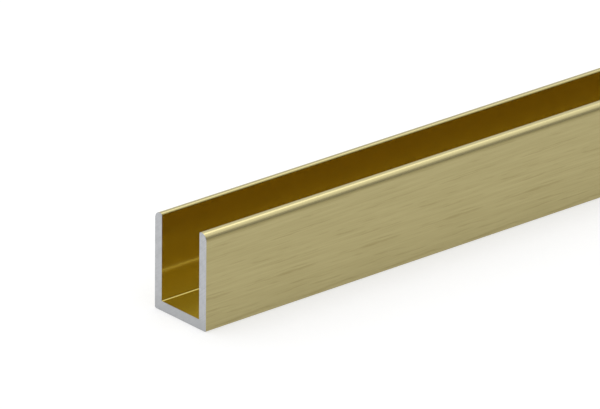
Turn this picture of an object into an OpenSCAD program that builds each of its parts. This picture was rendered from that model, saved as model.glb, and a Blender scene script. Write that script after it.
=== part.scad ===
// Extruded aluminium U-channel for edging and holding a glass panel, sawn to length.
// The bar lies along X on the underside of its web, with the slot open upwards.

/* [Stock] */
// Length of the bar, from saw cut to saw cut
bar_length = 1000; // [100:50:6000]

/* [Section] */
// Outer width across both legs
channel_width = 15; // [10:0.5:40]
// Height of the legs above the underside of the web
leg_height = 20; // [10:0.5:60]
// Thickness of each leg
leg_wall = 2; // [1:0.1:4]
// Thickness of the web between the legs
web_wall = 2; // [1:0.1:4]

/* [Edges] */
// Radius on the outer edge of each lip
lip_outer_radius = 1.4; // [0.3:0.1:3]
// Radius that breaks the inner edge of each lip
lip_inner_radius = 0.4; // [0.1:0.1:1]
// Radius where each leg turns into the web, on the outside
heel_radius = 0.4; // [0.1:0.1:2]
// Fillet in each inner corner of the slot
root_fillet = 0.2; // [0.1:0.1:2]

/* [Hidden] */
$fn = 64;

// Clear width of the slot, and how deep it is
slot_width = channel_width - 2 * leg_wall;
slot_depth = leg_height - web_wall;

// A lip's two roundings share the leg's thickness, so each is limited by it
lip_inner = min(lip_inner_radius, leg_wall / 3);
lip_outer = min(lip_outer_radius, leg_wall - lip_inner);
heel = min(heel_radius, leg_wall, web_wall);
root = min(root_fillet, slot_width / 3, slot_depth / 3);

// Aluminium anodised to a pale brass gold
gold_anodised = [0.66, 0.62, 0.44];

// What an arc of radius r leaves of a square corner, with the corner at the origin
// and the sides along +X and +Y
module corner_sliver(r) {
    difference() {
        square(r);
        translate([r, r]) circle(r);
    }
}

// Half of the section, to the right of the centre line, with X across and Y up
module half_section() {
    half_width = channel_width / 2;
    half_slot = slot_width / 2;
    difference() {
        square([half_width, leg_height]);
        // the slot, less the fillet at its root
        difference() {
            translate([-half_slot, web_wall]) square([slot_width, leg_height]);
            translate([half_slot, web_wall]) mirror([1, 0]) corner_sliver(root);
        }
        translate([half_width, leg_height]) rotate(180) corner_sliver(lip_outer);
        translate([half_slot, leg_height]) mirror([0, 1]) corner_sliver(lip_inner);
        translate([half_width, 0]) mirror([1, 0]) corner_sliver(heel);
    }
}

module section() {
    half_section();
    mirror([1, 0]) half_section();
}

module u_channel() {
    color(gold_anodised)
        rotate([90, 0, 90])
            linear_extrude(height = bar_length, center = true)
                section();
}

u_channel();
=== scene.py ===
"""A brushed gold aluminium U-channel on a pale studio floor. Metres, with +X along the bar and +Z up."""

import math

import bmesh
import bpy
from mathutils import Matrix, Vector


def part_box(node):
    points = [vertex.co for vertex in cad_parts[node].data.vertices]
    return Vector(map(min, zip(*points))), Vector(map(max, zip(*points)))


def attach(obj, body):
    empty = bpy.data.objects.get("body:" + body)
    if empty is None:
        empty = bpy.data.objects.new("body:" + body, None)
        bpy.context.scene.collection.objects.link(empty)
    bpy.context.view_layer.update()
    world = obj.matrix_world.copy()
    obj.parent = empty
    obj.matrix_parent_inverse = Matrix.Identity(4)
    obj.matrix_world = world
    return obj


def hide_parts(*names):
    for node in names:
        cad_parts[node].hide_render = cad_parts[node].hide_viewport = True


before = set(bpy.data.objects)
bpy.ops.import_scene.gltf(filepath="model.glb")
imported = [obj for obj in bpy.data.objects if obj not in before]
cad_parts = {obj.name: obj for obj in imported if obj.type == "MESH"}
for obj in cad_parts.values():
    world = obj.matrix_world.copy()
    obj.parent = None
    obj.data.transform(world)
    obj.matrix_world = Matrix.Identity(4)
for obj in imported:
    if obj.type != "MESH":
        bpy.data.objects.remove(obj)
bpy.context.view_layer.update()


# The bar
# One straight aluminium extrusion of U section that holds the edge of a glass panel. It is pressed
# through a die, brushed lengthwise on the outside, anodised pale gold and sawn to length, so both
# of its ends are bare metal.

bar_low, bar_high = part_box("u_channel")
bar_length = bar_high.x - bar_low.x
channel_width = bar_high.y - bar_low.y
half_width = channel_width / 2
leg_height = bar_high.z
leg_wall = 0.002
web_wall = 0.002
slot_half = half_width - leg_wall

lip_outer_radius = 0.0014
lip_inner_radius = 0.0004
heel_radius = 0.0004
root_fillet = 0.0002
saw_edge_break = 0.00006

# The section stands across the bar at its near end, and is pressed out along it
bpy.ops.object.select_all(action="DESELECT")
bpy.ops.mesh.primitive_plane_add(
    size=1,
    location=(bar_low.x, 0, leg_height / 2),
    rotation=(math.pi / 2, 0, math.pi / 2),
)
bar = bpy.context.object
bar.name = "channel_bar"
bar.data.name = "channel_bar"
bar.scale = (channel_width, leg_height, 1)
bpy.ops.object.transform_apply(location=True, rotation=True, scale=True)

# Corners that are nearer than this to a place are at it
NEAR = 1e-6


def pick(kind, wanted):
    """Selects only those faces or edges of the mesh in hand that the test accepts."""
    bpy.ops.mesh.select_mode(type=kind)
    bpy.ops.mesh.select_all(action="DESELECT")
    mesh = bmesh.from_edit_mesh(bpy.context.object.data)
    for part in mesh.faces if kind == "FACE" else mesh.edges:
        if wanted(part):
            part.select_set(True)
    bmesh.update_edit_mesh(bpy.context.object.data)


def in_slot(face):
    middle = face.calc_center_median()
    return abs(middle.y) < slot_half and middle.z > web_wall


def runs_along(edge):
    start, end = edge.verts
    return abs(start.co.x - end.co.x) > NEAR


def at_corner(across, height):
    """A test for the edges along the bar at one corner of the section, on both sides."""
    def test(edge):
        place = edge.verts[0].co
        on_corner = abs(abs(place.y) - across) < NEAR and abs(place.z - height) < NEAR
        return on_corner and runs_along(edge)
    return test


def on_saw_cut(edge):
    return all(abs(abs(vert.co.x) - bar_length / 2) < NEAR for vert in edge.verts)


# Planes through the slot's two walls and its floor, each with a point and a normal, divide the section
slot_planes = (
    ((0, slot_half, 0), (0, 1, 0)),
    ((0, -slot_half, 0), (0, 1, 0)),
    ((0, 0, web_wall), (0, 0, 1)),
)
flat_within = math.radians(1)
bpy.ops.object.mode_set(mode="EDIT")
for plane_point, plane_normal in slot_planes:
    bpy.ops.mesh.select_all(action="SELECT")
    bpy.ops.mesh.bisect(plane_co=plane_point, plane_no=plane_normal)
pick("FACE", in_slot)
bpy.ops.mesh.delete(type="FACE")
bpy.ops.mesh.select_all(action="SELECT")
bpy.ops.mesh.dissolve_limited(angle_limit=flat_within)
bpy.ops.mesh.select_all(action="SELECT")
bpy.ops.mesh.extrude_region_move(TRANSFORM_OT_translate={"value": (bar_length, 0, 0)})
bpy.ops.mesh.select_all(action="SELECT")
bpy.ops.mesh.normals_make_consistent(inside=False)

# Cuts along the bar keep its faces from being long needles
cuts_along = 39
pick("EDGE", runs_along)
bpy.ops.mesh.subdivide(number_cuts=cuts_along)

# The edges to round, the radius, and the number of steps round it
roundings = (
    (at_corner(half_width, leg_height), lip_outer_radius, 14),
    (at_corner(slot_half, leg_height), lip_inner_radius, 8),
    (at_corner(half_width, 0), heel_radius, 8),
    (at_corner(slot_half, web_wall), root_fillet, 10),
    (on_saw_cut, saw_edge_break, 1),
)
for edges, radius, steps in roundings:
    pick("EDGE", edges)
    bpy.ops.mesh.bevel(offset=radius, segments=steps, affect="EDGES", clamp_overlap=False)
bpy.ops.mesh.select_all(action="SELECT")
bpy.ops.mesh.remove_doubles(threshold=NEAR)
bpy.ops.object.mode_set(mode="OBJECT")

# The roundings shade smoothly, and the wide faces between them stay flat
sharp_from = math.radians(30)
wide_face_weight = 100
bpy.ops.object.shade_smooth_by_angle(angle=sharp_from)
bpy.ops.object.modifier_add(type="WEIGHTED_NORMAL")
flat_faces = bar.modifiers[-1]
flat_faces.keep_sharp = True
flat_faces.weight = wide_face_weight
bpy.ops.object.modifier_apply(modifier=flat_faces.name)


class Wire:
    """A shader socket that takes part in sums. An expression on wires adds its Math nodes."""

    # How many finer layers each noise has
    noise_detail = 2

    # Where a Mix node keeps the sockets of its colours
    low_colour = 6
    high_colour = 7
    mixed_colour = 2

    def __init__(self, tree, socket=None):
        self.tree = tree
        self.socket = socket

    def node(self, kind, settings, values, output=0):
        """A node with its settings, then its sockets' values or links, as a wire from one of its outputs."""
        made = self.tree.nodes.new(kind)
        for name, value in settings.items():
            setattr(made, name, value)
        for name, value in values.items():
            if isinstance(value, Wire):
                self.tree.links.new(value.socket, made.inputs[name])
            else:
                made.inputs[name].default_value = value
        return Wire(self.tree, made.outputs[output])

    def maths(self, operation, *terms):
        return self.node("ShaderNodeMath", {"operation": operation}, dict(enumerate(terms)))

    def __add__(self, other):
        return self.maths("ADD", self, other)

    __radd__ = __add__

    def __rsub__(self, other):
        return self.maths("SUBTRACT", other, self)

    def __mul__(self, other):
        return self.maths("MULTIPLY", self, other)

    __rmul__ = __mul__

    def __abs__(self):
        return self.maths("ABSOLUTE", self)

    def part(self, axis):
        """A point's place along one axis."""
        return self.node("ShaderNodeSeparateXYZ", {}, {"Vector": self}, output=axis)

    def rise(self, start, end):
        """0 up to start and 1 from end on, with a soft step between."""
        sockets = {"Value": self, "From Min": start, "From Max": end}
        return self.node("ShaderNodeMapRange", {"interpolation_type": "SMOOTHSTEP"}, sockets)

    def noise(self, grain_size):
        """Noise on a point, with the lengths of its grains in metres along each axis."""
        counts = tuple(1 / length for length in grain_size)
        scaled = self.node("ShaderNodeVectorMath", {"operation": "MULTIPLY"}, {0: self, 1: counts})
        sockets = {"Vector": scaled, "Scale": 1, "Detail": self.noise_detail}
        return self.node("ShaderNodeTexNoise", {}, sockets)

    def brush_lines(self, turn, length, thickness, angle, lift):
        """Noise drawn out along X that comes back at each turn of a brush, from grains of that size."""
        turned = self.part("X") * (2 * math.pi / turn) + angle
        ring = turn / (2 * math.pi * length)
        on_brush = self.node("ShaderNodeCombineXYZ", {}, {
            "X": self.maths("COSINE", turned) * ring,
            "Y": self.maths("SINE", turned) * ring,
            "Z": self.part("Y") * (1 / thickness),
        })
        sockets = {
            "Vector": on_brush,
            "W": (self.part("Z") + lift) * (1 / thickness),
            "Scale": 1,
            "Detail": self.noise_detail,
        }
        return self.node("ShaderNodeTexNoise", {"noise_dimensions": "4D"}, sockets)

    def blend(self, low, high):
        """The colour low where this wire is 0, and high where it is 1."""
        sockets = {"Factor": self, self.low_colour: low, self.high_colour: high}
        return self.node("ShaderNodeMix", {"data_type": "RGBA"}, sockets, output=self.mixed_colour)

    def bump(self, strength, depth):
        """The normal of a surface that stands out by that depth where this wire is 1."""
        sockets = {"Strength": strength, "Distance": depth, "Height": self}
        return self.node("ShaderNodeBump", {}, sockets)


def start_material(name):
    """A new material with a Principled shader, and a wire that carries the place on the piece."""
    material = bpy.data.materials.new(name)
    material.use_nodes = True
    tree = material.node_tree
    shader = tree.nodes["Principled BSDF"]
    place = Wire(tree).node("ShaderNodeTexCoord", {}, {}, output="Object")
    return material, shader, place


def connect(shader, links):
    for name, wire in links.items():
        wire.tree.links.new(wire.socket, shader.inputs[name])


# Gold anodised skin: bright as extruded in the slot, smooth on the lips, brushed lengthwise outside.
# The slot's near wall is duller than the far one.
bright_gold = (0.787, 0.692, 0.299, 1)
lip_gold = (0.735, 0.65, 0.33, 1)
brushed_gold = (0.459, 0.400, 0.198, 1)
bright_roughness = 0.10
duller_wall = 0.12
lip_roughness = 0.17
brushed_roughness = 0.38

# Where one finish starts to pass into another, and where that ends
slot_mouth = (slot_half, slot_half + 0.00025)
mid_web = (0.4 * web_wall, 0.6 * web_wall)
near_wall_end = (-slot_half + 0.00005, -slot_half + 0.00015)
brush_stop = (leg_height - 0.0011, leg_height - 0.0004)
gold, gold_shader, gold_place = start_material("gold_anodised")
side = gold_place.part("Y")
height = gold_place.part("Z")
outside = 1 - (1 - abs(side).rise(*slot_mouth)) * height.rise(*mid_web)
near_wall = (1 - side.rise(*near_wall_end)) * (1 - outside)
brushed = outside * (1 - height.rise(*brush_stop))
skin = brushed.blend(outside.blend(bright_gold, lip_gold), brushed_gold)

# A turning brush leaves the same lines at each of its turns. Just below each lip a dark band is painted
# shade, standing in for the dark room that the lip's rounding mirrors.
# A mark shows where its noise rises through its tones, and its share says how dark it is.
# The dark gold of the brush lines, also used for the painted shade under the lips
streak_and_painted_shade_gold = (0.35, 0.296, 0.133, 1)
hairline_size = (0.016, 0.00011, 0.00011)
hairline_tones = (0.35, 0.75)
hairline_share = 0.32
brush_turn = 0.0211
line_tones = (0.3, 0.7)
line_share = 0.28
dash_tones = (0.58, 0.70)
dash_share = 0.50
# Where the painted shade under the lips starts and ends, and how dark it is
painted_lip_shade_top = (leg_height - 0.0012, leg_height - 0.0008)
painted_lip_shade_foot = (leg_height - 0.0018, leg_height - 0.0011)
painted_lip_shade_share = 0.85
hairlines = gold_place.noise(hairline_size)
lines = gold_place.brush_lines(brush_turn, length=0.009, thickness=0.00040, angle=5.926, lift=0.2422)
dashes = gold_place.brush_lines(brush_turn, length=0.008, thickness=0.00045, angle=0.3276, lift=0.2154)
streaks = (
    hairlines.rise(*hairline_tones) * hairline_share
    + lines.rise(*line_tones) * line_share
    + dashes.rise(*dash_tones) * dash_share
)
# Painted shade: a dark band just below each lip
painted_lip_shade = outside * height.rise(*painted_lip_shade_foot) * (1 - height.rise(*painted_lip_shade_top))
# The skin darkens by real brush lines on the brushed faces and by the painted shade under the lips
brush_marks_and_painted_shade = painted_lip_shade * painted_lip_shade_share + brushed * streaks

gold_shader.inputs["Metallic"].default_value = 1
connect(gold_shader, {
    "Base Color": brush_marks_and_painted_shade.blend(skin, streak_and_painted_shade_gold),
    "Roughness": bright_roughness
    + near_wall * duller_wall
    + outside * (lip_roughness - bright_roughness)
    + brushed * (brushed_roughness - lip_roughness),
    "Normal": (hairlines * brushed).bump(strength=0.10, depth=0.00002),
})

# Bare aluminium on the saw cuts, with marks that curve round the blade's axle and smears between them.
# The web, low on the end by the floor, is painted darker than the legs: painted shade.
sawn_grey = (0.53, 0.54, 0.556, 1)
# The grey of the saw marks, also used for the painted shade on the web
saw_mark_and_painted_shade_grey = (0.457, 0.468, 0.482, 1)
sawn_roughness = 0.38
saw_mark_roughness = 0.1
blade_axle = (0, 0.09, 0.12)
across_only = (0, 1, 1)
marks_per_metre = 5000
smear_size = (0.0012, 0.0012, 0.0012)
dull_tones = (0.4, 0.7)
dull_share = 0.6
web_top = (web_wall - 0.0005, web_wall + 0.0015)
sawn, sawn_shader, sawn_place = start_material("sawn_aluminium")
cut_place = sawn_place.node(
    "ShaderNodeVectorMath", {"operation": "MULTIPLY"}, {0: sawn_place, 1: across_only}
)
blade_reach = cut_place.node(
    "ShaderNodeVectorMath", {"operation": "DISTANCE"}, {0: cut_place, 1: blade_axle}, output="Value"
)
saw_marks = blade_reach.node(
    "ShaderNodeTexNoise", {"noise_dimensions": "1D"},
    {"W": blade_reach, "Scale": marks_per_metre, "Detail": Wire.noise_detail},
)
smears = sawn_place.noise(smear_size)
# Painted shade: the web, low down by the floor, is painted darker
painted_web_shade = 1 - sawn_place.part("Z").rise(*web_top)
# The end darkens by real saw marks and smears and by the painted shade on the web
saw_marks_and_painted_shade = (saw_marks.rise(*dull_tones) + smears.rise(*dull_tones) + painted_web_shade) * dull_share
sawn_shader.inputs["Metallic"].default_value = 1
connect(sawn_shader, {
    "Base Color": saw_marks_and_painted_shade.blend(sawn_grey, saw_mark_and_painted_shade_grey),
    "Roughness": sawn_roughness + saw_marks * saw_mark_roughness,
    "Normal": saw_marks.bump(strength=0.15, depth=0.00002),
})

# Faces that look along the bar at all, so the broken edges of a saw cut too, are bare
bare_from = 0.1
bar.data.materials.clear()
bar.data.materials.append(gold)
bar.data.materials.append(sawn)
for face in bar.data.polygons:
    if abs(face.normal.x) > bare_from:
        face.material_index = bar.data.materials.find(sawn.name)

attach(bar, "root")
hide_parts("u_channel")


# The floor
# A wide sheet of matt white paper that the bar lies on, a hair below its web. What the camera and the
# metal see of it is lifted to white, and it still takes the bar's shadow.

floor_size = 120
floor_gap = 0.00002
paper_grey = (0.56, 0.56, 0.56, 1)
paper_glow = 0.54
black = (0, 0, 0, 1)
white = (1, 1, 1, 1)
bpy.ops.object.select_all(action="DESELECT")
bpy.ops.mesh.primitive_plane_add(size=floor_size, location=(0, 0, -floor_gap))
floor = bpy.context.object
floor.name = "floor"
paper, paper_shader, paper_place = start_material("white_paper")
paper_shader.inputs["Base Color"].default_value = paper_grey
paper_shader.inputs["Roughness"].default_value = 1
paper_shader.inputs["Specular IOR Level"].default_value = 0
paper_shader.inputs["Emission Strength"].default_value = paper_glow
seen = sum(
    paper_place.node("ShaderNodeLightPath", {}, {}, output=ray)
    for ray in ("Is Camera Ray", "Is Glossy Ray", "Is Transmission Ray")
)
connect(paper_shader, {"Emission Color": seen.blend(black, white)})
floor.data.materials.append(paper)


# The studio
# A soft grey room that is lighter overhead and behind, and one long softbox above the bar's near end, so
# that the light along the lips fades towards the far end.

room_light = 0.34
overhead_light = 0.76
overhead_from = 0.2
overhead_to = 0.9
overhead_power = 1.5
behind_light = 0.20
behind_range = (0.3, 0.75)
world = bpy.data.worlds.new("studio")
bpy.context.scene.world = world
world.use_nodes = True
sky = world.node_tree
direction = Wire(sky).node("ShaderNodeTexCoord", {}, {}, output="Generated")
overhead = direction.node(
    "ShaderNodeMapRange", {},
    {"Value": direction.part("Z"), "From Min": overhead_from, "From Max": overhead_to},
)
overhead_share = overhead.maths("POWER", overhead, overhead_power)
behind_share = direction.part("Y").rise(*behind_range)
room = room_light + overhead_light * overhead_share + behind_light * behind_share
sky.nodes["Background"].inputs["Color"].default_value = white
connect(sky.nodes["Background"], {"Strength": room})

softbox_length = 3.62
softbox_width = 1.0
softbox_reach = 2.2
softbox_lean = math.radians(10)
softbox_radiance = 0.56
bpy.ops.object.select_all(action="DESELECT")
bpy.ops.object.light_add(
    type="AREA",
    location=(bar_low.x, softbox_reach * math.sin(softbox_lean), softbox_reach * math.cos(softbox_lean)),
    rotation=(-softbox_lean, 0, 0),
)
softbox = bpy.context.object
softbox.name = "softbox"
softbox.data.shape = "RECTANGLE"
softbox.data.size = softbox_length
softbox.data.size_y = softbox_width
softbox.data.energy = softbox_radiance * math.pi * softbox_length * softbox_width
softbox.visible_camera = False


# The camera
# A long lens that looks down on the near end of the bar from its left. Its place is given from that end:
# how far it is turned and climbs, how far it stands back, and how far it is shifted sideways and up.

picture_width = 600
focal_pixels = 8230
sensor_width = 36
camera_turn = math.radians(-40.917)
camera_climb = math.radians(23.330)
camera_roll = math.radians(0.629)
camera_sideways = 0.022639
camera_up = 0.021778
camera_reach = 1.5530
back = Vector((
    math.sin(camera_turn) * math.cos(camera_climb),
    -math.cos(camera_turn) * math.cos(camera_climb),
    math.sin(camera_climb),
))
level = Vector((math.cos(camera_turn), math.sin(camera_turn), 0))
upright = back.cross(level)
right = math.cos(camera_roll) * level + math.sin(camera_roll) * upright
up = math.cos(camera_roll) * upright - math.sin(camera_roll) * level
near_end = Vector((bar_low.x, 0, 0))
stand = near_end + camera_sideways * right + camera_up * up + camera_reach * back

bpy.ops.object.select_all(action="DESELECT")
bpy.ops.object.camera_add()
camera = bpy.context.object
camera.name = "camera"
camera.matrix_world = Matrix.Translation(stand) @ Matrix((right, up, back)).transposed().to_4x4()
camera.data.sensor_width = sensor_width
camera.data.lens = focal_pixels / picture_width * sensor_width
scene = bpy.context.scene
scene.camera = camera
scene.view_settings.view_transform = "Standard"

# Light goes many times between the slot's walls, and this pattern leaves no grain in what they mirror
slot_bounces = 32
scene.cycles.max_bounces = slot_bounces
scene.cycles.glossy_bounces = slot_bounces
scene.cycles.sampling_pattern = "TABULATED_SOBOL"
